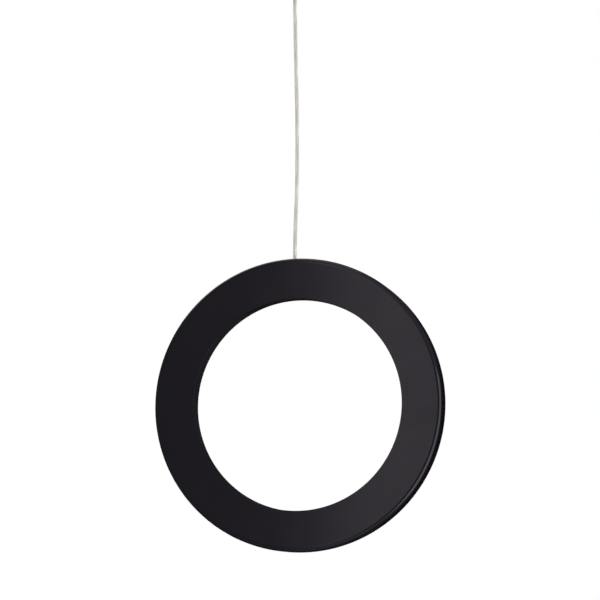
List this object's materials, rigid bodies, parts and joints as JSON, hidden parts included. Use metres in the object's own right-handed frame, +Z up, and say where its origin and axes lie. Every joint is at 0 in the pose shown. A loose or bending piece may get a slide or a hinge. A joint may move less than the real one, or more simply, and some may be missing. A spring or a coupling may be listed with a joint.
{
  "type": "magnetic track pendant light",
  "caption": "Flat black ring pendant light on a thin clear cable, with a magnetic adapter that clips into a ceiling track and an opal light face on the back of the ring.",
  "frame": {"origin": "middle of the adapter's flat top face, which sits in the track", "axes": "+Z up out of the track seat, X along the track and in the ring's plane, -Y the ring's blank face"},
  "size_m": [0.2, 0.0228, 0.424],
  "materials": {
    "ring_black": "satin black powder coat",
    "opal": "satin opal",
    "cable_clear": "clear sheath over pale cores",
    "adapter_black": "fine matt texture",
    "gland_black": "moulded, satin",
    "collet_rubber": "soft matt",
    "magnet_nickel": "bright nickel plate",
    "screw_steel": "zinc plate",
    "screw_black": "black zinc plate",
    "contact_brass": "polished nose",
    "spring_steel": "bright wire",
    "carrier_nylon": "natural nylon",
    "board_green": "solder mask",
    "board_white": "white solder mask",
    "ferrite": "dark ferrite",
    "can_aluminium": "drawn can",
    "chip_black": "moulded epoxy",
    "terminal_white": "moulded",
    "lead_grey": "insulated core",
    "led_phosphor": "silicone over phosphor",
    "tape_grey": "thermal tape"
  },
  "bodies": {
    "adapter": {"adapter_housing": "adapter_black", "adapter_lid": "adapter_black", "lid_screws": "screw_black", "holding_magnets": "magnet_nickel", "contact_carrier": "carrier_nylon", "contact_spring_front": "spring_steel", "contact_spring_rear": "spring_steel", "contact_terminals": "contact_brass", "contact_leads": "lead_grey", "driver_board": "board_green", "driver_board_screws": "screw_steel", "driver_inductor": "ferrite", "driver_capacitors": "can_aluminium", "driver_chips": "chip_black", "driver_terminal": "terminal_white", "supply_leads": "lead_grey", "gland_body": "gland_black", "gland_locknut": "gland_black", "gland_collet": "collet_rubber", "gland_cap": "gland_black", "cable_tail_top": "cable_clear"},
    "front_contact": {"contact_plunger_front": "contact_brass"},
    "rear_contact": {"contact_plunger_rear": "contact_brass"},
    "cable_neck": {"cable_upper": "cable_clear"},
    "cable": {"power_cable": "cable_clear"},
    "ring": {"ring_housing": "ring_black", "thermal_tape": "tape_grey", "led_board": "board_white", "led_chips": "led_phosphor", "ring_terminal": "terminal_white", "ring_leads": "lead_grey", "cable_tail_ring": "cable_clear", "cable_grommet": "collet_rubber", "cable_clamp": "carrier_nylon", "clamp_screws": "screw_steel", "diffuser": "opal"}
  },
  "joints": [
    {"name": "swing_side", "type": "hinge", "parent": "adapter", "child": "cable_neck", "pos_m": [0, 0, -0.034], "axis": [0, 1, 0], "range_deg": [-15, 15]},
    {"name": "swing_front", "type": "hinge", "parent": "cable_neck", "child": "cable", "pos_m": [0, 0, -0.04], "axis": [1, 0, 0], "range_deg": [-15, 15]},
    {"name": "ring_twist", "type": "hinge", "parent": "cable", "child": "ring", "pos_m": [0, 0, -0.224], "axis": [0, 0, 1], "range_deg": [-180, 180]},
    {"name": "front_contact_press", "type": "slide", "parent": "adapter", "child": "front_contact", "axis": [0, 1, 0], "range_m": [0, 0.0012], "stiffness_N_per_m": 300, "springref_m": -0.001, "deforming": ["contact_spring_front"]},
    {"name": "rear_contact_press", "type": "slide", "parent": "adapter", "child": "rear_contact", "axis": [0, -1, 0], "range_m": [0, 0.0012], "stiffness_N_per_m": 300, "springref_m": -0.001, "deforming": ["contact_spring_rear"]}
  ]
}
